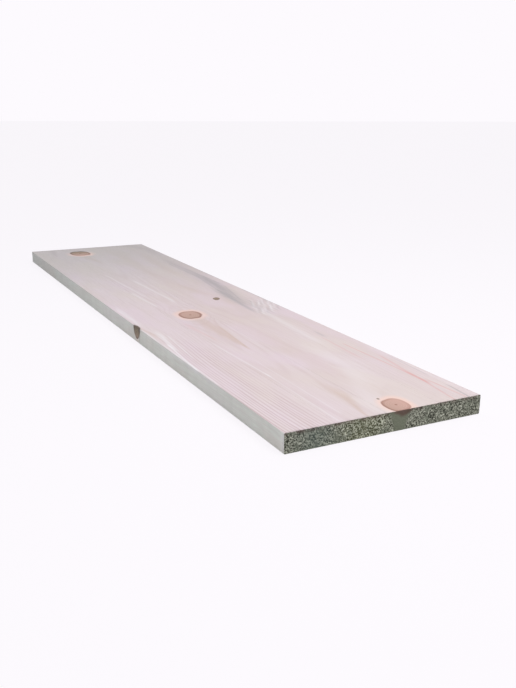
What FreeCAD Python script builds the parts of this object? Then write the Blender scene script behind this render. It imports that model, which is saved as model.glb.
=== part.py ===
"""Edge-glued softwood panel: full-length staves glued edge to edge, planed flat and cross-cut.

Row frame: X runs along the grain, Y across the width from the front edge to the back edge, Z up.
The origin is the centre of the underside. Millimetres.
"""

import FreeCAD, Part
import os
import sys

import PartDesign
import Sketcher

# Driving dimensions: alias, value and what it is.
DIMENSIONS = [
    ("panel_length", 900.0, "along the grain, from one saw-cut end to the other"),
    ("panel_thickness", 18.0, "planed and sanded"),
    ("front_edge_stave_width", 49.5, "first stave, its outer edge trimmed"),
    ("front_inner_stave_width", 48.5, "second stave"),
    ("back_inner_stave_width", 55.0, "third stave"),
    ("back_edge_stave_width", 47.0, "fourth stave, its outer edge trimmed"),
    ("long_arris_radius", 1.0, "sanded rounding of the panel's four long edges"),
]

# From front to back. The panel's long edges are the first one's front face and the last one's back face.
STAVES = ["front_edge_stave", "front_inner_stave", "back_inner_stave", "back_edge_stave"]

SHEET = "Dimensions"
STEP_FOLDER = "parts"
ON_PLANE = 1e-6  # how near a point lies to a plane that holds it
START, END = 1, 2  # Sketcher's names for a line's two ends
AXIS = -1  # Sketcher's number for the sketch's horizontal axis, whose START is the sketch's origin


def cell(alias):
    return f"{SHEET}.{alias}"


def width_of(stave):
    return cell(f"{stave}_width")


def front_face_y(stave):
    """Expression for the Y of a stave's front face: half the panel forward, then past those before it."""
    panel_width = " + ".join(width_of(other) for other in STAVES)
    before = "".join(f" + {width_of(other)}" for other in STAVES[: STAVES.index(stave)])
    return f"-({panel_width}) / 2{before}"


def make_sheet(doc):
    """One row for each driving dimension: its name, its value and what it is."""
    sheet = doc.addObject("Spreadsheet::Sheet", SHEET)
    for row, (alias, value, meaning) in enumerate(DIMENSIONS, start=1):
        sheet.set(f"A{row}", alias)
        sheet.set(f"B{row}", str(value))
        sheet.set(f"C{row}", meaning)
        sheet.setAlias(f"B{row}", alias)
    doc.recompute()


def draw_section(body, stave):
    """The stave's cross-section, a rectangle whose front bottom corner is the body's origin."""
    sketch = body.newObject("Sketcher::SketchObject", f"{stave}_section")
    across_the_grain = next(plane for plane in body.Origin.OriginFeatures if plane.Role == "YZ_Plane")
    sketch.AttachmentSupport = [(across_the_grain, "")]
    sketch.MapMode = "FlatFace"

    corners = [FreeCAD.Vector(y, z, 0) for y, z in ((0, 0), (1, 0), (1, 1), (0, 1))]
    underside, back, top, front = range(4)
    for line in (underside, back, top, front):
        sketch.addGeometry(Part.LineSegment(corners[line], corners[(line + 1) % 4]), False)

    for line in (underside, back, top, front):
        sketch.addConstraint(Sketcher.Constraint("Coincident", line, END, (line + 1) % 4, START))
    for line in (underside, top):
        sketch.addConstraint(Sketcher.Constraint("Horizontal", line))
    for line in (back, front):
        sketch.addConstraint(Sketcher.Constraint("Vertical", line))
    sketch.addConstraint(Sketcher.Constraint("Coincident", underside, START, AXIS, START))

    width = sketch.addConstraint(Sketcher.Constraint("DistanceX", underside, START, underside, END, 1.0))
    thickness = sketch.addConstraint(Sketcher.Constraint("DistanceY", back, START, back, END, 1.0))
    sketch.setExpression(f"Constraints[{width}]", width_of(stave))
    sketch.setExpression(f"Constraints[{thickness}]", cell("panel_thickness"))
    return sketch


def pad_along_grain(body, stave, section):
    """The full length, half of it each side of the middle."""
    pad = body.newObject("PartDesign::Pad", f"{stave}_length")
    pad.Profile = section
    pad.SideType = "Symmetric"
    pad.setExpression("Length", cell("panel_length"))
    return pad


def long_edges_at(shape, y):
    """Names of the edges that run along the grain at this Y of the body."""
    names = []
    for number, edge in enumerate(shape.Edges, start=1):
        on_the_face = all(abs(vertex.Y - y) < ON_PLANE for vertex in edge.Vertexes)
        if on_the_face and edge.BoundBox.XLength > ON_PLANE:
            names.append(f"Edge{number}")
    return names


def round_arrises(body, stave, pad, outer_y):
    """Sands the two long edges of the stave's outer face round."""
    fillet = body.newObject("PartDesign::Fillet", f"{stave}_arrises")
    fillet.Base = (pad, long_edges_at(pad.Shape, outer_y))
    fillet.setExpression("Radius", cell("long_arris_radius"))
    return fillet


def make_stave(doc, stave):
    """One full-length stave, standing behind the staves before it."""
    body = doc.addObject("PartDesign::Body", stave)
    body.Label = stave
    section = draw_section(body, stave)
    pad = pad_along_grain(body, stave, section)
    doc.recompute()

    # Only the outer staves reach the panel's long edges; glued edges stay square.
    if stave == STAVES[0]:
        body.Tip = round_arrises(body, stave, pad, outer_y=0.0)
    if stave == STAVES[-1]:
        body.Tip = round_arrises(body, stave, pad, outer_y=pad.Shape.BoundBox.YMax)
    body.setExpression("Placement.Base.y", front_face_y(stave))
    return body


def check(doc, staves):
    """Stops before anything is written if an object failed or a stave isn't one closed solid."""
    failed = [thing.Name for thing in doc.Objects if {"Invalid", "Error"} & set(thing.State)]
    if failed:
        sys.exit(f"these objects failed: {failed}")
    for body in staves:
        if body.Shape.isNull() or not body.Shape.isValid() or len(body.Shape.Solids) != 1:
            sys.exit(f"{body.Label} isn't one valid solid")


def main():
    doc = FreeCAD.newDocument("edge_glued_panel")
    make_sheet(doc)
    staves = [make_stave(doc, stave) for stave in STAVES]
    doc.recompute()
    check(doc, staves)

    os.makedirs(STEP_FOLDER, exist_ok=True)
    for body in staves:
        body.Shape.exportStep(os.path.join(STEP_FOLDER, f"{body.Label}.step"))
        shape = body.Shape
        place = f"Y {shape.BoundBox.YMin:.2f} to {shape.BoundBox.YMax:.2f}"
        print(f"{body.Label}: {place}, volume {shape.Volume:.1f}, {len(shape.Faces)} faces")


main()
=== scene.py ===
# Edge-glued softwood panel: four full-length pine staves, planed and sanded flat, with saw-cut ends.
# Each stave is one closed mesh. A ring field worked out in three dimensions gives every face its own cut
# through the same tree, so rings, knots and stains agree on the top, the underside, the edges and the ends.

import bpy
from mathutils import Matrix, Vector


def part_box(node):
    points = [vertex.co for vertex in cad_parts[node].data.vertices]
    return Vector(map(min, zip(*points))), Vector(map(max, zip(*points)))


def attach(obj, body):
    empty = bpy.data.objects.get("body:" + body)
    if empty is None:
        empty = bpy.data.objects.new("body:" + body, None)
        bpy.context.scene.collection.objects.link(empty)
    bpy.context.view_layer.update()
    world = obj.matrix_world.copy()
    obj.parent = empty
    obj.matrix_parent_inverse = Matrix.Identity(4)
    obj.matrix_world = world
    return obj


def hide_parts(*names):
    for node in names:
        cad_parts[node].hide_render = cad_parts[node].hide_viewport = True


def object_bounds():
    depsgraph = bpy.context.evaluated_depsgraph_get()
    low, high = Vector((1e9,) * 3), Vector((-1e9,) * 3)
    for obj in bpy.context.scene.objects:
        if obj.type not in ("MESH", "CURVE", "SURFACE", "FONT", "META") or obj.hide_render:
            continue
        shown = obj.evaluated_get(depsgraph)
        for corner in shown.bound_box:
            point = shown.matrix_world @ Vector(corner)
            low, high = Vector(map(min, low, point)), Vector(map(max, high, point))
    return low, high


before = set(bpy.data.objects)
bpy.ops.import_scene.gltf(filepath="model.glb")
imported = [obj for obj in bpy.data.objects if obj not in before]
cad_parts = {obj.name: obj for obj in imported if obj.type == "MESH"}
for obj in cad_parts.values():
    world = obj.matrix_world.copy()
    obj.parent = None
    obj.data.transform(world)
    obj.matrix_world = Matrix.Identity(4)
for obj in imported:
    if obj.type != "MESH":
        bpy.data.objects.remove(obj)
cadBox = [list(corner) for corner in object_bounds()]

import math

import bpy
import numpy as np
from mathutils import Quaternion, Vector

mm = 0.001
(farX, frontY, floorZ), (nearX, _, topZ) = cadBox
thickness = topZ - floorZ


def linear(code):
    # sRGB hex to linear: dark values divide by 12.92, the rest is ((c + 0.055) / 1.055) to the power 2.4
    parts = [int(code[i:i + 2], 16) / 255 for i in (0, 2, 4)]
    return tuple(c / 12.92 if c <= 0.04045 else ((c + 0.055) / 1.055) ** 2.4 for c in parts) + (1.0,)


# The tree that each stave was sawn from, in metres. e is the distance from the near end, v from the front
# edge and h above the underside, here and below.
# pith: how far across from the stave's middle and how far up it lies at the near end; climb: how far it
# moves across and up for each metre; bow: how far it bends across past the near part
# show: how strongly the rings show up to "clear" along; over "fade" they drop to "after"; across they fade
# past "quiet"; tone: how much darker and browner the whole stave is
trees = {
    "front_edge_stave": {
        "pith": (0.120, -0.050), "climb": (0.000, 0.000), "ring": 3.05 * mm, "bow": 13 * mm,
        "show": 1.15, "clear": 0.225, "fade": 0.09, "after": 0.10, "quiet": 0.030, "tone": 0.0},
    "front_inner_stave": {
        "pith": (-0.003, -0.044), "climb": (0.004, 0.021), "ring": 2.9 * mm, "bow": 3 * mm,
        "show": 0.42, "clear": 0.55, "fade": 0.15, "after": 0.12, "quiet": 0.200, "tone": 0.10},
    "back_inner_stave": {
        "pith": (0.014, -0.060), "climb": (-0.012, 0.016), "ring": 3.2 * mm, "bow": 2 * mm,
        "show": 0.26, "clear": 0.40, "fade": 0.20, "after": 0.12, "quiet": 0.200, "tone": 0.30},
    "back_edge_stave": {
        "pith": (-0.055, -0.030), "climb": (0.030, 0.010), "ring": 2.7 * mm, "bow": 4 * mm,
        "show": 0.30, "clear": 0.45, "fade": 0.20, "after": 0.12, "quiet": 0.200, "tone": 0.38},
}

# at: e, then v for a branch that ran down through the board, or h for one that ran out through the front
# edge (way "out"); half: half its length and half its width; slope: how far its middle line moves along for
# each unit across; lean: how far its axis moves each way for each unit of depth; taper: how much longer it
# is on one side than on the other; dead: 0 for a live red knot, 1 for a dead one; shade: how much deader it
# gets along and across
knots = [
    {"at": (0.0130, 0.1168), "half": (14.3 * mm, 11.4 * mm), "slope": 0.18, "lean": (0.60, 0.05),
     "way": "down", "taper": 0.0, "dead": 0.11, "shade": (-0.04, -0.13)},
    {"at": (0.3744, 0.0776), "half": (17.2 * mm, 13.6 * mm), "slope": 0.16, "lean": (0.25, -0.05),
     "way": "down", "taper": 0.0, "dead": 0.22, "shade": (-0.10, 0.0)},
    {"at": (0.8495, 0.0708), "half": (20.5 * mm, 15.8 * mm), "slope": 0.0, "lean": (-0.30, 0.05),
     "way": "down", "taper": 0.0, "dead": 0.58, "shade": (0.45, 0.0)},
    {"at": (0.4393, 0.1421), "half": (6.4 * mm, 4.6 * mm), "slope": 0.45, "lean": (0.60, 0.10),
     "way": "down", "taper": 0.0, "dead": 0.85, "shade": (0.0, 0.0)},
    {"at": (0.3485, 0.0122), "half": (9.6 * mm, 8.0 * mm), "slope": 0.0, "lean": (0.20, -0.70),
     "way": "out", "taper": 0.42, "dead": 0.90, "shade": (0.0, 0.15)},
    {"at": (0.0315, 0.1113), "half": (1.5 * mm, 1.1 * mm), "slope": 0.0, "lean": (0.50, 0.00),
     "way": "down", "taper": 0.0, "dead": 0.9, "shade": (0.0, 0.0)},
]

# Stains in the wood, and among the pale ones a painted highlight along the front arris: from one point to
# another, each (from the near end, from the front edge), with the half width at either end, how strong it is
# and how deep it goes.
stains = {
    "tan": [
        ((0.325, 0.0780), (0.222, 0.0780), 11 * mm, 1.5 * mm, 0.60, 0.012),
        ((0.305, 0.0860), (0.228, 0.0790), 1.2 * mm, 0.8 * mm, 0.55, 0.012),
        ((0.060, 0.1220), (0.330, 0.1120), 9 * mm, 16 * mm, 0.22, 0.030),
        ((0.815, 0.0700), (0.760, 0.0780), 10 * mm, 2 * mm, 0.45, 0.012),
        ((0.520, 0.1180), (0.760, 0.1260), 8 * mm, 12 * mm, 0.20, 0.030),
        ((0.640, 0.1550), (0.800, 0.1650), 8 * mm, 10 * mm, 0.25, 0.020),
        ((0.336, 0.0020), (0.310, 0.0060), 2 * mm, 2 * mm, 0.50, 0.004),
        ((0.048, 0.0885), (0.008, 0.0800), 5.5 * mm, 1.5 * mm, 0.60, 0.010),
        ((0.445, 0.1480), (0.520, 0.1300), 9 * mm, 6 * mm, 0.25, 0.010),
    ],
    "grey": [
        ((0.372, 0.1568), (0.452, 0.1630), 2.6 * mm, 6.0 * mm, 0.60, 0.010),
        ((0.445, 0.1650), (0.505, 0.1765), 8.0 * mm, 8.0 * mm, 0.34, 0.010),
        ((0.490, 0.1755), (0.560, 0.1805), 7.0 * mm, 6.0 * mm, 0.32, 0.010),
        ((0.2300, 0.1756), (0.2355, 0.1756), 2.0 * mm, 1.6 * mm, 0.45, 0.004),
        ((0.352, 0.1992), (0.475, 0.1990), 1.0 * mm, 1.0 * mm, 0.75, 0.006),
        ((0.560, 0.1990), (0.740, 0.1990), 1.0 * mm, 1.2 * mm, 0.60, 0.006),
        ((0.550, 0.1810), (0.700, 0.1800), 6.0 * mm, 5.0 * mm, 0.34, 0.010),
        ((0.425, 0.1690), (0.500, 0.1840), 1.3 * mm, 1.0 * mm, 0.30, 0.006),
        ((0.470, 0.1640), (0.570, 0.1750), 1.4 * mm, 0.9 * mm, 0.34, 0.006),
        ((0.530, 0.1860), (0.640, 0.1835), 1.6 * mm, 1.2 * mm, 0.34, 0.006),
        ((0.580, 0.1760), (0.690, 0.1745), 1.5 * mm, 1.0 * mm, 0.32, 0.006),
        ((0.400, 0.1680), (0.720, 0.1850), 13.0 * mm, 11.0 * mm, 0.25, 0.014),
        ((0.845, 0.0280), (0.920, 0.0360), 2.0 * mm, 7.0 * mm, 0.45, 0.010),
        ((0.840, 0.1900), (0.910, 0.1650), 9.0 * mm, 14.0 * mm, 0.50, 0.020),
        ((0.000, 0.1872), (0.030, 0.1905), 1.0 * mm, 0.8 * mm, 0.90, 0.004),
        ((0.070, 0.1930), (0.130, 0.1960), 0.6 * mm, 0.6 * mm, 0.50, 0.004),
    ],
    "resin": [
        ((0.055, 0.1793), (0.070, 0.1796), 1.6 * mm, 1.4 * mm, 0.80, 0.004),
        ((0.055, 0.1790), (0.002, 0.1710), 0.8 * mm, 0.6 * mm, 0.70, 0.004),
        ((0.070, 0.1796), (0.185, 0.1780), 0.8 * mm, 0.6 * mm, 0.65, 0.004),
        ((0.051, 0.1830), (0.003, 0.1850), 0.8 * mm, 0.6 * mm, 0.65, 0.004),
        ((0.080, 0.1810), (0.132, 0.1880), 1.4 * mm, 1.2 * mm, 0.45, 0.004),
        ((0.150, 0.1660), (0.210, 0.1700), 2.0 * mm, 1.2 * mm, 0.25, 0.004),
        ((0.320, 0.0560), (0.270, 0.0600), 3.0 * mm, 2.0 * mm, 0.20, 0.004),
    ],
    "bark": [
        ((0.3392, 0.0000), (0.3400, 0.0000), 0.24 * mm, 0.24 * mm, 1.00, 0.010),
        ((0.3560, 0.0000), (0.3574, 0.0000), 0.22 * mm, 0.22 * mm, 0.85, 0.007),
        ((0.3440, 0.0008), (0.3530, 0.0008), 1.1 * mm, 1.1 * mm, 0.80, 0.003),
    ],
    "pale_and_highlight": [
        ((0.000, 0.0525), (0.130, 0.0550), 0.8 * mm, 0.8 * mm, 0.32, 0.006),
        ((0.130, 0.0550), (0.245, 0.0515), 0.8 * mm, 0.6 * mm, 0.40, 0.006),
        ((0.020, 0.0630), (0.170, 0.0650), 0.8 * mm, 0.7 * mm, 0.25, 0.006),
        ((0.440, 0.0545), (0.510, 0.0515), 1.8 * mm, 1.8 * mm, 0.40, 0.006),
        ((0.500, 0.0600), (0.640, 0.0560), 1.5 * mm, 1.8 * mm, 0.30, 0.006),
        ((0.455, 0.0855), (0.585, 0.0805), 1.8 * mm, 1.8 * mm, 0.38, 0.006),
        ((0.030, 0.1040), (0.125, 0.1400), 13.0 * mm, 11.0 * mm, 0.25, 0.012),
        ((0.230, 0.1580), (0.330, 0.1660), 6.0 * mm, 5.0 * mm, 0.30, 0.010),
        ((0.000, 0.1950), (0.170, 0.1970), 3.0 * mm, 2.0 * mm, 0.15, 0.010),
        # a painted highlight: a pale line along the rounded front arris, where it catches the light
        ((0.130, 0.0012), (0.330, 0.0012), 1.4 * mm, 1.2 * mm, 0.50, 0.003),
        ((0.000, 0.0000), (0.001, 0.0000), 0.5 * mm, 0.5 * mm, 0.55, 0.030),
        ((0.420, 0.0060), (0.370, 0.0060), 4.0 * mm, 3.0 * mm, 0.45, 0.006),
        ((0.300, 0.0120), (0.250, 0.0075), 3.5 * mm, 2.0 * mm, 0.55, 0.006),
        ((0.260, 0.0060), (0.175, 0.0005), 1.4 * mm, 0.9 * mm, 0.65, 0.004),
        ((0.295, 0.0190), (0.215, 0.0125), 0.9 * mm, 0.7 * mm, 0.50, 0.004),
    ],
}
# The wavy figure in the back stave: two rows of short uneven strokes across the grain, pale and grey in turn
uneven = np.random.default_rng(77).uniform(-1, 1, (28, 3))
for stroke, (along, across, strong) in enumerate(uneven):
    row, turn = stroke % 2, stroke // 2
    startE = 0.345 + 0.030 * row + 0.0012 * turn + 0.006 * along
    startV = 0.157 + 0.0070 * row + 0.0026 * turn + 0.0008 * across
    stains["grey" if turn % 2 else "pale_and_highlight"].append((
        (startE, startV), (startE + 0.024 + 0.006 * across, startV + 0.0100), 1.3 * mm, 1.1 * mm,
        0.31 + 0.14 * strong, 0.004))

# Painted shade: the board is painted greyer towards the far end, from this far along up to this share of the
# grey colour.
farShadeRamp = {"from": 0.38, "share": 0.55}

# Under the knot that the near end cuts, the wood is denser and the saw left it smooth: its middle from
# the front edge, and its half width at the top and at the underside.
denserWood = {"middle": 0.1118, "top": 12.0 * mm, "under": 5.5 * mm, "reach": 0.05}

# Where the end grain is bluish or olive: the middle of each patch from the front edge and its half width.
# It is torn hardest in the olive one.
endTints = {"teal": (0.030, 0.018), "olive": (0.076, 0.024)}


def waves(e, v, h, size, seed):
    # smooth unevenness from -1 to 1: the mean of six sine waves in directions drawn at random, each about
    # six times longer along the grain than across it
    draw = np.random.default_rng(seed)
    total = np.zeros_like(e)
    for turn in draw.uniform(0.6, 1.6, (6, 3)) * draw.choice([-1, 1], (6, 3)):
        phase = (e * turn[0] / 6 + v * turn[1] + h * turn[2]) * 2 * math.pi / size
        total += np.sin(phase + draw.uniform(0, 6.28))
    return total / 6


def knotPlace(knot, e, v, h):
    # how far out a point lies in a knot, 1 at its rim: the 2.4th root of (along / half length) and
    # (across / half width), each to the power 2.4; the axis leans and the branch narrows with depth below
    # the face that shows it
    down = knot["way"] == "down"
    depth = thickness - h if down else v
    shrink = np.clip(1 - 0.25 * depth / thickness, 0.3, 1)
    across = (v if down else h) - knot["at"][1] - knot["lean"][1] * depth
    along = e - knot["at"][0] - knot["lean"][0] * depth - knot["slope"] * across
    besideShare, alongShare = across / knot["half"][1] / shrink, along / knot["half"][0] / shrink
    alongShare /= np.clip(1 + knot["taper"] * besideShare, 0.35, 1.6)
    out = (np.abs(alongShare) ** 2.4 + np.abs(besideShare) ** 2.4) ** (1 / 2.4)
    dead = knot["dead"] + knot["shade"][0] * alongShare + knot["shade"][1] * besideShare
    return out * (1 + 0.07 * waves(e, v, h, 14 * mm, 31)), across if down else v * 0, np.clip(dead, 0, 1)


# How the rings run: where the bow starts and how long it takes, how far the pith wanders, how far the rings
# ripple, how hard a knot pulls them aside and lifts them, and the share of a ring by which good and poor
# years shift them, with how many rings that takes
ringFlow = {
    "bowFrom": 0.116, "bowReach": 0.21, "wander": 1.5 * mm, "ripple": 0.35 * mm,
    "pull": 0.85, "lift": 0.55, "years": ((0.20, 6.3), (0.03, 2.6)),
}


def ringCount(tree, middle, e, v, h):
    # growth: distance from the pith over the ring width, with two sines added to it, because good and
    # poor years differ; the pith bows and wanders along the length, the rings flow round a knot and bulge
    # out along its branch
    pulled = v.copy()
    bulge = np.zeros_like(e)
    for knot in knots:
        out, across, dead = knotPlace(knot, e, v, h)
        pulled -= across * np.exp(-(out / 1.5) ** 2) * ringFlow["pull"]
        bulge += knot["half"][1] * ringFlow["lift"] * np.exp(-(out / 2.1) ** 2)
    bow = tree["bow"] * (1 - np.exp(-((e - ringFlow["bowFrom"]) / ringFlow["bowReach"]) ** 2))
    wander = [ringFlow["wander"] * waves(e, 0 * v, 0 * h, size, seed)
              for size, seed in ((0.05, 5), (0.06, 6))]
    pithAcross = middle + tree["pith"][0] + tree["climb"][0] * e + bow + wander[0]
    pithUp = tree["pith"][1] + tree["climb"][1] * e + wander[1]
    ripple = ringFlow["ripple"] * waves(e, v, h, 18 * mm, 8)
    even = (np.hypot(pulled - pithAcross, h - pithUp) + ripple - bulge) / tree["ring"]
    return even + sum(share * np.sin(2 * math.pi * even / rings) for share, rings in ringFlow["years"])


def streak(seed, one, e, v, h):
    # a tapered streak: its strength on its line, falling as exp(-(distance / half width) squared), with
    # distances past its ends and depth below the top counted in the same way
    (startE, startV), (endE, endV), startHalf, endHalf, strength, deep = one
    runE, runV = endE - startE, endV - startV
    share = ((e - startE) * runE + (v - startV) * runV) / (runE ** 2 + runV ** 2)
    inside = np.clip(share, 0, 1)
    half = startHalf + (endHalf - startHalf) * inside
    beside = np.abs(v - startV - runV * inside)
    past = np.abs(share - inside) * math.hypot(runE, runV) / 6
    ragged = 1 + 0.35 * waves(e, v, h, 8 * mm, seed)
    return strength * np.exp(-(np.hypot(beside, past) / (half * ragged)) ** 2 - ((thickness - h) / deep) ** 2)


def woodFields(name, places):
    # everything that the finishes read, at each point of a stave; the rings show unevenly from year to year,
    # as two sines of the ring count, and "knot" stays at 9, far outside, away from every knot
    tree = trees[name]
    low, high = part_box(name)
    e, v, h = nearX - places[:, 0], places[:, 1] - frontY, places[:, 2] - floorZ
    growth = ringCount(tree, (low[1] + high[1]) / 2 - frontY, e, v, h)
    fade = np.clip((e - tree["clear"]) / tree["fade"] + 0.5 * waves(e, v, h, 0.03, 12), 0, 1)
    show = tree["show"] * (1 - fade) + tree["after"] * fade
    show *= 0.85 + 0.15 * np.sin(growth * 1.7) + 0.12 * np.sin(growth * 0.61)
    show *= 1 - 0.6 * np.clip((v - tree["quiet"]) / 0.016 + 0.5 * waves(e, v, h, 0.03, 13), 0, 1)
    knot = np.full_like(e, 9.0)
    dead = np.zeros_like(e)
    for one in knots:
        out, across, oneDead = knotPlace(one, e, v, h)
        nearer = out < knot
        knot, dead = np.where(nearer, out, knot), np.where(nearer, oneDead, dead)
    colour = {kind: np.clip(sum(streak(40 + i, one, e, v, h) for i, one in enumerate(listed)), 0, 1)
              for kind, listed in stains.items()}
    # the painted grey shade rises as (3 - 2t) t squared from where it starts to the far end
    farShade = np.clip((e - farShadeRamp["from"]) / (nearX - farX - farShadeRamp["from"]), 0, 1)
    # 1 in the denser wood under the near knot, falling as exp(-(across / half width) to the power 4)
    half = denserWood["under"] + (denserWood["top"] - denserWood["under"]) * h / thickness
    denser = np.exp(-((v - denserWood["middle"]) / half) ** 4) * (e < denserWood["reach"])
    # each tint falls as exp(-(distance / half width) squared)
    for tint, (middle, width) in endTints.items():
        colour[tint] = np.exp(-((v + 4 * mm * waves(e, v, h, 0.02, 14) - middle) / width) ** 2)
    return {"growth": growth, "ringShow": show, "knot": knot, "knotDead": dead, "denser": denser,
            "tone": np.full_like(e, tree["tone"]), "torn": np.full_like(e, 0.5),
            "farShade": farShadeRamp["share"] * (3 - 2 * farShade) * farShade ** 2, **colour}


staveMesh = {
    "lengthCells": 250,             # closer together near its knots
    "knotReach": 0.026,             # how far from a knot's middle the cells along are shorter
    "knotCells": 3,                 # how many times more of them there are there, past the first
    "knotBeside": 12 * mm,          # a knot in the next stave counts when its middle is as near as this
    "cell": 0.45 * mm,              # across and through
    "arris": 1.0 * mm,              # the sanded rounding of the panel's long edges
    "arrisCells": 3,
    "sawDepth": 0.9 * mm,           # how deep the saw tore the end grain
    "crisp": 1.5 * mm,              # the tear is shallow this close to the end's outline
    "latewoodProud": 0.03 * mm,     # sanding leaves the hard latewood standing above the soft wood
    "knotRimDeep": 0.10 * mm,
}


def lengthStations(name):
    # places along the length: their density is 1 + knotCells x exp(-(distance to a knot / knotReach)
    # squared), and each place is where the running total of the density reaches its share
    low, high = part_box(name)
    x = np.linspace(low[0], high[0], 4001)
    density = np.ones_like(x)
    beside = staveMesh["knotBeside"]
    for knot in knots:
        if low[1] - beside < frontY + knot["at"][1] < high[1] + beside:
            away = (x - nearX + knot["at"][0]) / staveMesh["knotReach"]
            density += staveMesh["knotCells"] * np.exp(-away ** 2)
    reach = np.concatenate([[0], np.cumsum((density[1:] + density[:-1]) / 2)])
    return np.interp(np.linspace(0, reach[-1], staveMesh["lengthCells"] + 1), reach, x)


def crossStations(low, high, roundLow, roundHigh):
    # places across: even cells, with a few small ones in each rounding
    arris, count = staveMesh["arris"], staveMesh["arrisCells"]
    start, end = low + arris * roundLow, high - arris * roundHigh
    cells = round((end - start) / staveMesh["cell"])
    stations = np.linspace(start, end, cells + 1)
    rounding = arris * (1 - np.cos(np.linspace(0, math.pi / 2, count + 1)))[:-1]
    parts = [low + rounding] * roundLow + [stations] + [(high - rounding)[::-1]] * roundHigh
    return np.concatenate(parts)


def boxSurface(cells):
    # the outside of a lattice of cells: every outer lattice point once, and quads that face outwards
    shape = tuple(count + 1 for count in cells)
    ids = np.arange(np.prod(shape)).reshape(shape)
    sides = [(ids[0], False), (ids[-1], True), (ids[:, 0], True), (ids[:, -1], False),
             (ids[:, :, 0], False), (ids[:, :, -1], True)]
    quads, side = [], []
    for number, (grid, outward) in enumerate(sides):
        quad = np.stack([grid[:-1, :-1], grid[1:, :-1], grid[1:, 1:], grid[:-1, 1:]], axis=-1).reshape(-1, 4)
        quads.append(quad if outward else quad[:, ::-1])
        side.append(np.full(len(quad), number))
    used, quads = np.unique(np.concatenate(quads), return_inverse=True)
    return np.stack(np.unravel_index(used, shape), axis=1), quads.reshape(-1, 4), np.concatenate(side)


def roundArris(y, z, edgeY, inY, edgeZ, inZ):
    # a point in the corner square moves so that the square's outline lands on the arc: its offset from
    # the arc's centre is scaled by (the larger part of it) / (its length)
    arris = staveMesh["arris"]
    outY, outZ = arris - (y - edgeY) * inY, arris - (z - edgeZ) * inZ
    corner = (outY > 0) & (outZ > 0)
    scale = np.where(corner, np.maximum(outY, outZ) / np.maximum(np.hypot(outY, outZ), 1e-12), 1.0)
    return (np.where(corner, edgeY + inY * (arris - outY * scale), y),
            np.where(corner, edgeZ + inZ * (arris - outZ * scale), z))


def tornEnd(rows, columns, draw):
    # depth of the torn end grain, 0 to 1: random heights, each the mean of itself and its four neighbours,
    # so that fibre bundles come out about 1.5 mm across, stretched back to a spread of about a quarter
    # either side of the middle, with some of the fine heights left in
    fine = draw.random((rows, columns)) - 0.5
    around = np.pad(fine, 1, mode="edge")
    soft = (around[:-2, 1:-1] + around[2:, 1:-1] + around[1:-1, :-2] + around[1:-1, 2:] + fine) / 5
    return np.clip(0.5 + 0.27 * soft / soft.std() + 0.25 * fine, 0, 1)


def latewood(growth):
    # 0 in the pale early wood, rising to 1 in the late wood of each ring and dropping back at the next ring
    part = growth % 1.0
    rise = np.clip((part - 0.45) / 0.4, 0, 1)
    return rise ** 2 * np.clip((1 - part) / 0.08, 0, 1)


def buildStave(name, number, finishes):
    # the lattice box with its arrises rounded, each point then moved in by the relief of its own face
    low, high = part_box(name)
    outerFront, outerBack = number == 0, number == len(trees) - 1
    x = lengthStations(name)
    y = crossStations(low[1], high[1], outerFront, outerBack)
    z = crossStations(low[2], high[2], True, True)
    cells = (len(x) - 1, len(y) - 1, len(z) - 1)
    lattice, quads, side = boxSurface(cells)
    i, j, k = lattice.T
    places = np.stack([x[i], y[j], z[k]], axis=1)
    for edgeY, inY, outer in ((low[1], 1, outerFront), (high[1], -1, outerBack)):
        if outer:
            for edgeZ, inZ in ((low[2], 1), (high[2], -1)):
                places[:, 1], places[:, 2] = roundArris(places[:, 1], places[:, 2], edgeY, inY, edgeZ, inZ)
    fields = woodFields(name, places)

    # planed and sanded faces: soft wood lies lower than latewood, and a knot's rim is a fine groove
    rim = np.exp(-((fields["knot"] - 1) / 0.07) ** 2)
    relief = staveMesh["latewoodProud"] * (1 - latewood(fields["growth"])) * fields["ringShow"]
    relief += staveMesh["knotRimDeep"] * rim
    places[:, 2] += np.where(k == 0, relief, 0) - np.where(k == cells[2], relief, 0)
    if outerFront:
        places[:, 1] += np.where(j == 0, relief, 0)
    if outerBack:
        places[:, 1] -= np.where(j == cells[1], relief, 0)

    # saw-cut ends: torn inwards, less where the wood is denser and close to the outline
    v, h = places[:, 1], places[:, 2]
    draw = np.random.default_rng(100 + number)
    for atEnd, inwards in ((i == 0, 1), (i == cells[0], -1)):
        torn = tornEnd(cells[1] + 1, cells[2] + 1, draw)[j[atEnd], k[atEnd]]
        fromSide = np.minimum(np.minimum(v - low[1], high[1] - v), np.minimum(h - low[2], high[2] - h))[atEnd]
        smooth = 1 - 0.85 * fields["denser"][atEnd]
        smooth *= 0.3 + 0.7 * np.clip(fromSide / staveMesh["crisp"], 0, 1)
        fields["torn"][atEnd] = 0.5 + (torn - 0.5) * smooth * (0.8 + fields["olive"][atEnd])
        places[atEnd, 0] += inwards * staveMesh["sawDepth"] * torn * smooth

    mesh = bpy.data.meshes.new(name + "_wood")
    mesh.from_pydata(places.tolist(), [], quads.tolist())
    mesh.polygons.foreach_set("use_smooth", np.ones(len(quads), bool))
    kind = np.select([side <= 1, side <= 3], [2, 1], 0)
    mesh.polygons.foreach_set("material_index", kind.astype(np.int32))
    for finish in finishes:
        mesh.materials.append(finish)
    for field, values in fields.items():
        mesh.attributes.new(field, "FLOAT", "POINT").data.foreach_set("value", values.astype(np.float32))
    sharpenEnds(mesh, quads, side)
    stave = bpy.data.objects.new(name + "_wood", mesh)
    bpy.context.scene.collection.objects.link(stave)
    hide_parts(name)
    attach(stave, "root")
    print(f"{stave.name}: {len(quads) * 2} triangles")


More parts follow.
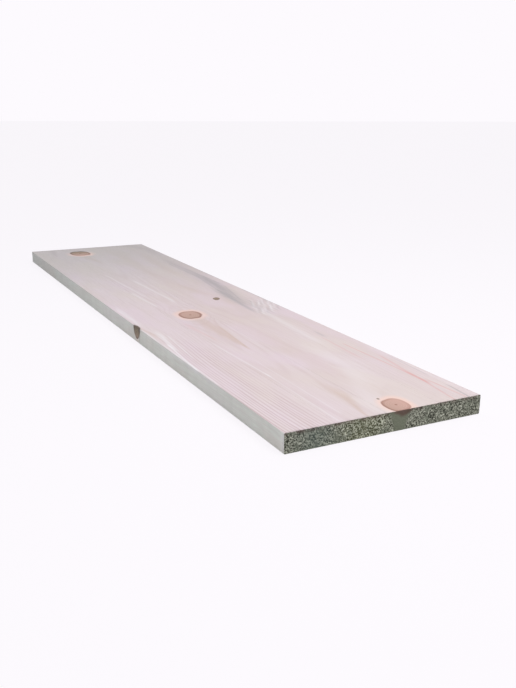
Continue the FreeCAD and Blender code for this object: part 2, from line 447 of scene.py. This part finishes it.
def sharpenEnds(mesh, quads, side):
    # the saw leaves crisp edges round both ends: an edge between an end and another side is sharp. The glued
    # faces meet the planed ones square, but those edges stay smooth, as along a rounded arris, where both
    # sides turn smoothly into each other
    mesh.update(calc_edges=True)
    edges = np.empty(len(mesh.edges) * 2, np.int32)
    mesh.edges.foreach_get("vertices", edges)
    edges = np.sort(edges.reshape(-1, 2), axis=1)
    loops = np.sort(np.stack([quads, np.roll(quads, -1, axis=1)], axis=-1).reshape(-1, 2), axis=1)
    loopSide = np.repeat(side, 4)
    span = len(mesh.vertices)
    edgeKeys, loopKeys = edges[:, 0] * span + edges[:, 1], loops[:, 0] * span + loops[:, 1]
    order = np.argsort(loopKeys, kind="stable")
    first, last = loopSide[order[0::2]], loopSide[order[1::2]]
    sharp = (first != last) & ((first <= 1) | (last <= 1))
    bySorted = np.argsort(edgeKeys, kind="stable")
    marks = np.zeros(len(mesh.edges), bool)
    marks[bySorted] = sharp
    mesh.attributes.new("sharp_edge", "BOOLEAN", "EDGE").data.foreach_set("value", marks)


def addNode(tree, kind, inputs=None, out=0, stops=(), **settings):
    # one node: its settings, its inputs by name or number, linked or set, and a ramp's stops; gives one
    # output back
    made = tree.nodes.new(kind)
    for setting, value in settings.items():
        setattr(made, setting, value)
    for socket, value in (inputs or {}).items():
        if isinstance(value, bpy.types.NodeSocket):
            tree.links.new(value, made.inputs[socket])
        else:
            made.inputs[socket].default_value = value
    for number, (place, colour) in enumerate(stops):
        element = made.color_ramp.elements[number] if number < 2 else made.color_ramp.elements.new(place)
        element.position = place
        element.color = colour if isinstance(colour, tuple) else (colour, colour, colour, 1.0)
    return made.outputs[out] if made.outputs else None


def newFinish(name):
    finish = bpy.data.materials.new(name)
    finish.use_nodes = True
    finish.node_tree.nodes.clear()
    return finish, finish.node_tree


# Pine, planed and sanded: a pale pinkish white early wood, fine darker latewood lines, a dry satin surface.
pine = {
    "early": "e5d8dc", "late": "c6acb1", "tone": "d8c8c5", "fibre": "d1c2c5", "streak": "cdbbbb",
    "lilac": "e2d1dc", "cream": "dfd3cc",
    # the pale colour also paints the highlight along the front arris
    "tan": "ccb5a8", "grey": "b2aaac", "resin": "d9a3a0", "pale_and_highlight": "f3eff2", "farShade": "aeb1ad",
    "bark": "54483b", "band": "c6c8c0",
    "knot": "cfa99d", "knotRing": "b98d7f", "rim": "95604f", "halo": "f4d3c6",
    "deadKnot": "8b7d64", "deadRing": "574b3a", "deadRim": "40362a",
    "edgeEarly": "e5ebe2", "edgeLate": "d4d8cf",
    "edgeRings": 0.3,          # rings hardly show on the edges, which are sanded across them
    "roughness": 0.58, "specular": 0.3, "bump": 0.06 * mm,
}
# How long and how wide each unevenness of the grain is, its octaves and their roughness. Single fibres are
# 0.03 mm wide: they are drawn ten times as coarse, to show.
grain = {
    "fibre": (14 * mm, 0.35 * mm, 3.0, 0.60),
    "streak": (70 * mm, 1.6 * mm, 2.0, 0.55),
    "cloud": (225 * mm, 45 * mm, 2.0, 0.50),
    "tint": (90 * mm, 30 * mm, 1.0, 0.50),
    "band": (13 * mm, 60 * mm, 1.0, 0.50),      # left across the edges by the planer's knives
}


def pineGrain(tree, early, late, rings):
    # the wood as sawn: each colour layer is laid over the ones before it by a factor from 0 to 1
    place = addNode(tree, "ShaderNodeTexCoord", out="Object")
    read = {name: addNode(tree, "ShaderNodeAttribute", out="Fac", attribute_name=name) for name in (
        "growth", "ringShow", "knot", "knotDead", "tone", "tan", "grey", "farShade", "resin", "pale_and_highlight", "bark")}
    noise = {}
    for name, (length, width, octaves, rough) in grain.items():
        drawn = addNode(tree, "ShaderNodeMapping", {
            "Vector": place, "Scale": (1 / length, 1 / width, 1 / width)})
        noise[name] = addNode(tree, "ShaderNodeTexNoise", {
            "Vector": drawn, "Scale": 1.0, "Detail": octaves, "Roughness": rough}, out="Fac")
    shown = {name: addNode(tree, "ShaderNodeMapRange", {0: noise[source], 1: low, 2: high, 3: 0.0, 4: most})
             for name, source, low, high, most in (
                 ("fibre", "fibre", 0.42, 0.75, 0.55), ("streak", "streak", 0.50, 0.72, 0.45 * rings),
                 ("cloud", "cloud", 0.35, 0.70, 0.45), ("lilac", "tint", 0.52, 0.70, 0.45 * rings),
                 ("cream", "tint", 0.48, 0.30, 0.45), ("band", "band", 0.40, 0.62, 0.24 * (1 - rings)))}

    # rings: the fraction of the ring count, darkening to the latewood line; inside a knot the rings are
    # its own
    inKnot = addNode(tree, "ShaderNodeMath", {0: read["knot"], 1: 1.0}, operation="LESS_THAN")
    wobble = addNode(tree, "ShaderNodeMath", {0: noise["fibre"], 1: 0.22, 2: read["growth"]},
                     operation="MULTIPLY_ADD")
    own = addNode(tree, "ShaderNodeMath", {0: read["knot"], 1: 6.0}, operation="MULTIPLY")
    count = addNode(tree, "ShaderNodeMix", {0: inKnot, 2: wobble, 3: own})
    part = addNode(tree, "ShaderNodeMath", {0: count}, operation="FRACT")
    line = addNode(tree, "ShaderNodeValToRGB", {"Fac": part}, stops=(
        (0.0, 0.10), (1.0, 0.10), (0.10, 0.0), (0.50, 0.04), (0.80, 1.0), (0.92, 0.85)))
    lineShown = addNode(tree, "ShaderNodeMath", {0: line, 1: read["ringShow"]}, operation="MULTIPLY")
    lineShown = addNode(tree, "ShaderNodeMath", {0: lineShown, 1: rings}, operation="MULTIPLY")
    toned = addNode(tree, "ShaderNodeMath", {0: read["tone"], 1: shown["cloud"]}, operation="ADD")
    toned = addNode(tree, "ShaderNodeMath", {0: toned, 1: rings}, operation="MULTIPLY")

    # a stain is ragged along its fibres
    ragged = addNode(tree, "ShaderNodeMapRange", {0: noise["fibre"], 1: 0.3, 2: 0.7, 3: 0.75, 4: 1.15})
    layers = [(lineShown, late), (shown["fibre"], pine["fibre"]), (shown["streak"], pine["streak"]),
              (toned, pine["tone"])]
    layers += [(shown[name], pine[name]) for name in ("lilac", "cream", "band")]
    # the greying towards the far end is painted shade, laid on as a grey colour
    for stain in ("tan", "farShade", "grey", "resin", "pale_and_highlight"):
        layers.append((addNode(tree, "ShaderNodeMath", {0: read[stain], 1: ragged}, operation="MULTIPLY",
                               use_clamp=True), pine[stain]))

    # round a knot: a warm resinous halo, weaker round a dead one
    halo = addNode(tree, "ShaderNodeMapRange", {0: read["knot"], 1: 1.0, 2: 1.75, 3: 0.85, 4: 0.0},
                   interpolation_type="SMOOTHSTEP")
    living = addNode(tree, "ShaderNodeMath", {0: 1.0, 1: read["knotDead"]}, operation="SUBTRACT")
    layers.append((addNode(tree, "ShaderNodeMath", {0: halo, 1: living}, operation="MULTIPLY"), pine["halo"]))

    # in it: pinkish brown with rings of its own and a dark heart, greyish brown where dead; a thin dark rim,
    # which is bark where the branch had died and hardly shows where it lived
    faint, plain = (addNode(tree, "ShaderNodeMath", {0: line, 1: most}, operation="MULTIPLY")
                    for most in (0.3, 0.8))
    alive, dead, rimColour = (
        addNode(tree, "ShaderNodeMix", {0: share, 6: linear(pine[under]), 7: linear(pine[over])}, out=2,
                data_type="RGBA") for share, under, over in (
            (faint, "knot", "knotRing"), (plain, "deadKnot", "deadRing"),
            (read["knotDead"], "rim", "deadRim")))
    body = addNode(tree, "ShaderNodeMix", {0: read["knotDead"], 6: alive, 7: dead}, out=2, data_type="RGBA")
    heart, inside = (addNode(tree, "ShaderNodeMapRange", {0: read["knot"], 1: low, 2: high, 3: most, 4: 0.0})
                     for low, high, most in ((0.05, 0.13, 0.8), (0.97, 1.03, 1.0)))
    half = addNode(tree, "ShaderNodeMath", {0: read["knot"], 1: 0.5}, operation="MULTIPLY")
    rim = addNode(tree, "ShaderNodeValToRGB", {"Fac": half}, stops=(
        (0.0, 0.0), (1.0, 0.0), (0.38, 0.0), (0.475, 0.6), (0.505, 0.6), (0.545, 0.0)))
    firm = addNode(tree, "ShaderNodeMapRange", {0: read["knotDead"], 1: 0.0, 2: 0.25, 3: 0.45, 4: 1.2})
    rimShown, heartShown = (addNode(tree, "ShaderNodeMath", {0: one, 1: other}, operation="MULTIPLY")
                            for one, other in ((rim, firm), (heart, inside)))
    layers += [(inside, body), (heartShown, rimColour), (rimShown, rimColour), (read["bark"], pine["bark"])]

    wood = linear(early)
    for factor, over in layers:
        over = linear(over) if isinstance(over, str) else over
        wood = addNode(tree, "ShaderNodeMix", {0: factor, 6: wood, 7: over}, out=2, data_type="RGBA")
    height = addNode(tree, "ShaderNodeMath", {0: lineShown, 1: 0.6, 2: noise["fibre"]},
                     operation="MULTIPLY_ADD")
    return wood, height


def finishSurface(tree, colour, height, roughness, bumpDeep):
    bump = addNode(tree, "ShaderNodeBump", {"Strength": 0.6, "Distance": bumpDeep, "Height": height})
    surface = addNode(tree, "ShaderNodeBsdfPrincipled", {
        "Base Color": colour, "Roughness": roughness, "Specular IOR Level": pine["specular"], "Normal": bump})
    addNode(tree, "ShaderNodeOutputMaterial", {"Surface": surface})


def planedPineFace():
    finish, tree = newFinish("planed_sanded_pine_face")
    colour, height = pineGrain(tree, pine["early"], pine["late"], 1.0)
    finishSurface(tree, colour, height, pine["roughness"], pine["bump"])
    return finish


def planedPineEdge():
    # the long edges are the same pine cut the other way, given greyer and lighter colours than the faces
    finish, tree = newFinish("planed_sanded_pine_edge")
    colour, height = pineGrain(tree, pine["edgeEarly"], pine["edgeLate"], pine["edgeRings"])
    finishSurface(tree, colour, height, pine["roughness"], pine["bump"])
    return finish


# Pine end grain, cross-cut with a coarse saw: open fibre ends, dark between them and pale at their tips; the
# dark deep in the tear is partly painted shade.
endGrain = {
    "pit_and_shade": "2a2c22", "fibre": "7e8072", "tip": "d3d5c4", "calm": "7c8172", "arc": "5d463d", "burr": "6a5650",
    "under": "757a68",
    "olive": "979a72", "teal": "6c7c75",
    "speck": 1.0 * mm,         # fibre ends are 0.03 mm wide: drawn as the bundles that tore together
    "clump": 9 * mm,
    "roughness": 0.85, "bump": 0.5 * mm,
}


def sawnPineEnd():
    finish, tree = newFinish("saw_cut_pine_end_grain")
    place = addNode(tree, "ShaderNodeTexCoord", out="Object")
    torn, knot, denser, teal, olive = (addNode(tree, "ShaderNodeAttribute", out="Fac", attribute_name=name)
                                       for name in ("torn", "knot", "denser", "teal", "olive"))
    speck, clump = (
        addNode(tree, "ShaderNodeTexNoise", {"Vector": place, "Scale": 1 / endGrain[size], "Detail": octaves,
                                             "Roughness": rough}, out="Fac")
        for size, octaves, rough in (("speck", 3.0, 0.65), ("clump", 2.0, 0.5)))
    # torn wood is dark where it is deep, which is painted shade in the hollows of the tear: the depth of the
    # tear and a finer noise together
    depth = addNode(tree, "ShaderNodeMath", {0: torn, 1: -0.35, 2: 0.675}, operation="MULTIPLY_ADD")
    level = addNode(tree, "ShaderNodeMath", {0: speck, 1: 0.55, 2: depth}, operation="MULTIPLY_ADD")
    wood = addNode(tree, "ShaderNodeValToRGB", {"Fac": level}, stops=(
        (0.65, linear(endGrain["pit_and_shade"])), (0.95, linear(endGrain["tip"])), (0.77, linear(endGrain["fibre"]))))
    # calm where the saw burnished it and where a knot makes it denser; reddish brown in the knot and in
    # patches along the top arris
    up = addNode(tree, "ShaderNodeSeparateXYZ", {0: place}, out="Z")
    burr = addNode(tree, "ShaderNodeMapRange", {0: up, 1: topZ - 4 * mm, 2: topZ - 0.5 * mm, 3: 0.0, 4: 1.0})
    some = addNode(tree, "ShaderNodeMapRange", {0: clump, 1: 0.42, 2: 0.58, 3: 0.1, 4: 0.7})
    burr = addNode(tree, "ShaderNodeMath", {0: burr, 1: some}, operation="MULTIPLY")
    layers = [(addNode(tree, "ShaderNodeMapRange", {0: source, 1: low, 2: high, 3: least, 4: most}), over)
              for source, low, high, least, most, over in (
                  (olive, 0.1, 1.0, 0.0, 0.30, endGrain["olive"]),
                  (teal, 0.1, 1.0, 0.0, 0.40, endGrain["teal"]),
                  (clump, 0.34, 0.46, 0.65, 0.0, endGrain["calm"]),
                  (denser, 0.3, 0.8, 0.0, 0.85, endGrain["under"]),
                  (knot, 1.10, 1.28, 0.85, 0.0, endGrain["arc"]))]
    for factor, over in layers + [(burr, endGrain["burr"])]:
        wood = addNode(tree, "ShaderNodeMix", {0: factor, 6: wood, 7: linear(over)}, out=2, data_type="RGBA")
    finishSurface(tree, wood, speck, endGrain["roughness"], endGrain["bump"])
    return finish


finishes = [planedPineFace(), planedPineEdge(), sawnPineEnd()]
print("finishes made")
for number, name in enumerate(trees):
    buildStave(name, number, finishes)
print("staves built")


# Matt white paper: no gloss at all, and only a faint soft shadow beside the board.
stage = {"size": 30.0, "floor": "f2f0f3", "backdrop": "fdfafe", "ownGlow": 0.86, "glowLevel": 1.02}


def backdropWhite(tree):
    # 1 for rays that see the backdrop itself, in the open, in gloss or through glass
    camera, glossy, through = (addNode(tree, "ShaderNodeLightPath", out=name) for name in (
        "Is Camera Ray", "Is Glossy Ray", "Is Transmission Ray"))
    either = addNode(tree, "ShaderNodeMath", {0: camera, 1: glossy}, operation="MAXIMUM")
    return addNode(tree, "ShaderNodeMath", {0: either, 1: through}, operation="MAXIMUM")


def buildFloor():
    half = stage["size"] / 2
    mesh = bpy.data.meshes.new("floor")
    corners = [(x * half, y * half, floorZ) for x, y in ((-1, -1), (1, -1), (1, 1), (-1, 1))]
    mesh.from_pydata(corners, [], [(0, 1, 2, 3)])
    paint, tree = newFinish("matt_white_paper_sweep")
    glow = addNode(tree, "ShaderNodeMath", {0: backdropWhite(tree), 1: stage["ownGlow"]},
                   operation="MULTIPLY")
    paper = addNode(tree, "ShaderNodeBsdfPrincipled", {
        "Base Color": linear(stage["floor"]), "Roughness": 1.0, "Specular IOR Level": 0.0})
    light = addNode(tree, "ShaderNodeEmission", {
        "Color": linear(stage["backdrop"]), "Strength": stage["glowLevel"]})
    surface = addNode(tree, "ShaderNodeMixShader", {0: glow, 1: paper, 2: light})
    addNode(tree, "ShaderNodeOutputMaterial", {"Surface": surface})
    mesh.materials.append(paint)
    floor = bpy.data.objects.new("floor", mesh)
    bpy.context.scene.collection.objects.link(floor)


studio = {
    "sky": "f4f3f6", "skyLevel": 0.47,
    "sunLevel": 0.75, "sunFrom": (0.10, 0.25, 1.0), "sunAngle": 70,
    "panelPower": 4.3, "panelAt": (0.55, 0.15, 0.95), "panelAim": (0.2, 0.0, 0.0), "panelSize": 0.7,
}


def buildLight():
    world = bpy.data.worlds.new("studio")
    world.use_nodes = True
    tree = world.node_tree
    tree.nodes.clear()
    seen = backdropWhite(tree)
    level = addNode(tree, "ShaderNodeMix", {0: seen, 2: studio["skyLevel"], 3: 1.0})
    sky = addNode(tree, "ShaderNodeMix", {0: seen, 6: linear(studio["sky"]), 7: linear(stage["backdrop"])},
                  out=2, data_type="RGBA")
    background = addNode(tree, "ShaderNodeBackground", {"Color": sky, "Strength": level})
    addNode(tree, "ShaderNodeOutputWorld", {"Surface": background})
    bpy.context.scene.world = world
    for name, kind, level, place in (("overhead_sun", "SUN", studio["sunLevel"], studio["sunFrom"]),
                                     ("near_softbox", "AREA", studio["panelPower"], studio["panelAt"])):
        lamp = bpy.data.lights.new(name, kind)
        lamp.energy = level
        if kind == "SUN":
            lamp.angle = math.radians(studio["sunAngle"])
        else:
            lamp.size = studio["panelSize"]
        made = bpy.data.objects.new(name, lamp)
        made.location = place
        aim = np.array(place) - (0 if kind == "SUN" else np.array(studio["panelAim"]))
        made.rotation_mode = "QUATERNION"
        made.rotation_quaternion = Vector(aim).to_track_quat("Z", "Y")
        bpy.context.scene.collection.objects.link(made)


cameraView = {
    "place": (0.9492, -0.3835, 0.2599),             # metres, in the panel's own frame
    "turn": 62.507, "down": 16.463, "roll": 0.52,   # degrees: from +Y towards -X, below level, sideways tilt
    "lens": 41.64, "sensor": 36.0, "clip": (0.01, 100),
}


def buildCamera():
    data = bpy.data.cameras.new("camera")
    data.lens, data.sensor_width = cameraView["lens"], cameraView["sensor"]
    turn, down, roll = (math.radians(cameraView[name]) for name in ("turn", "down", "roll"))
    look = Vector((-math.sin(turn) * math.cos(down), math.cos(turn) * math.cos(down), -math.sin(down)))
    camera = bpy.data.objects.new("camera", data)
    camera.location = cameraView["place"]
    camera.rotation_mode = "QUATERNION"
    camera.rotation_quaternion = look.to_track_quat("-Z", "Y") @ Quaternion((0, 0, 1), roll)
    data.clip_start, data.clip_end = cameraView["clip"]
    bpy.context.scene.collection.objects.link(camera)
    bpy.context.scene.camera = camera


buildFloor()
buildLight()
buildCamera()
bpy.context.scene.view_settings.view_transform = "Standard"
print("floor, light and camera made")
